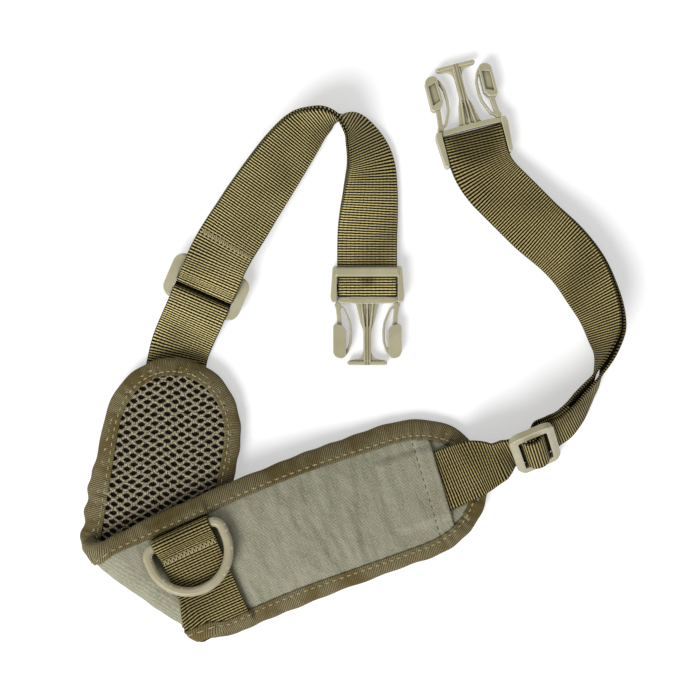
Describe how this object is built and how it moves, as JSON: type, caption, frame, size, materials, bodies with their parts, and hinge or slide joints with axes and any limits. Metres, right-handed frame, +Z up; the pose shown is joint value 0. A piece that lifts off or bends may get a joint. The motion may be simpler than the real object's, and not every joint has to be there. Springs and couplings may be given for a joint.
{
  "type": "padded binocular harness strap",
  "caption": "Padded harness strap lying folded: curved foam pad with bound edge and a D-ring, and adjustable webbing straps that end in the pronged halves of side-release buckles.",
  "frame": {"origin": "on the table, under the middle of the whole outline as it lies", "axes": "+Z up from the table; +Y along the straps' reach, from the pad towards the upper buckle; +X to the right of the outline seen from above"},
  "size_m": [0.2319, 0.2507, 0.0336],
  "materials": {
    "spacer_mesh": "open knitted spacer mesh",
    "foam": "plain closed-cell foam, hidden",
    "face_fabric": "matte woven ripstop",
    "binding": "ribbed binding tape",
    "webbing": "woven polyester webbing, slight sheen",
    "thread": "stitched thread",
    "ring": "fine matte moulding",
    "buckle": "fine matte moulding"
  },
  "bodies": {
    "harness": {"mesh_lining": "spacer_mesh", "foam_core": "foam", "base_panel": "face_fabric", "outer_panel": "face_fabric", "edge_binding": "binding", "cross_webbing": "webbing", "ring_bartack": "thread", "left_webbing": "webbing", "left_slider": "buckle", "left_strap_bartack": "thread", "left_buckle_turn": "webbing", "right_webbing": "webbing", "right_slider": "buckle", "right_strap_bartack": "thread", "right_buckle_turn": "webbing"},
    "ring": {"d_ring": "ring"},
    "left_buckle": {"left_buckle_frame": "buckle"},
    "left_latch_a": {"left_buckle_latch_a": "buckle"},
    "left_latch_b": {"left_buckle_latch_b": "buckle"},
    "right_buckle": {"right_buckle_frame": "buckle"},
    "right_latch_a": {"right_buckle_latch_a": "buckle"},
    "right_latch_b": {"right_buckle_latch_b": "buckle"}
  },
  "joints": [
    {"name": "ring_swing", "type": "hinge", "parent": "harness", "child": "ring", "pos_m": [-0.07106, -0.07782, 0.02575], "axis": [-0.91, -0.4147, 0], "range_deg": [0, 165]},
    {"name": "left_buckle_swing", "type": "hinge", "parent": "harness", "child": "left_buckle", "pos_m": [0.00686, 0.03979, 0.00415], "axis": [-1, -0.0009, 0], "range_deg": [0, 75], "deforming": ["left_buckle_turn"]},
    {"name": "left_latch_a_press", "type": "hinge", "parent": "left_buckle", "child": "left_latch_a", "pos_m": [-0.00589, 0.01924, 0.00366], "axis": [0, -0.0183, 0.9998], "range_deg": [0, 6], "stiffness_Nm_per_rad": 0.5},
    {"name": "left_latch_b_press", "type": "hinge", "parent": "left_buckle", "child": "left_latch_b", "pos_m": [0.01971, 0.01926, 0.00366], "axis": [0, 0.0183, -0.9998], "range_deg": [0, 6], "stiffness_Nm_per_rad": 0.5},
    {"name": "right_buckle_swing", "type": "hinge", "parent": "harness", "child": "right_buckle", "pos_m": [0.05683, 0.07844, 0.00606], "axis": [0.9686, 0.2488, 0.0002], "range_deg": [0, 75], "deforming": ["right_buckle_turn"]},
    {"name": "right_latch_a_press", "type": "hinge", "parent": "right_buckle", "child": "right_latch_a", "pos_m": [0.03862, 0.09493, 0.00569], "axis": [0.0038, -0.0143, -0.9999], "range_deg": [0, 6], "stiffness_Nm_per_rad": 0.5},
    {"name": "right_latch_b_press", "type": "hinge", "parent": "right_buckle", "child": "right_latch_b", "pos_m": [0.06342, 0.1013, 0.00569], "axis": [-0.0038, 0.0143, 0.9999], "range_deg": [0, 6], "stiffness_Nm_per_rad": 0.5}
  ]
}
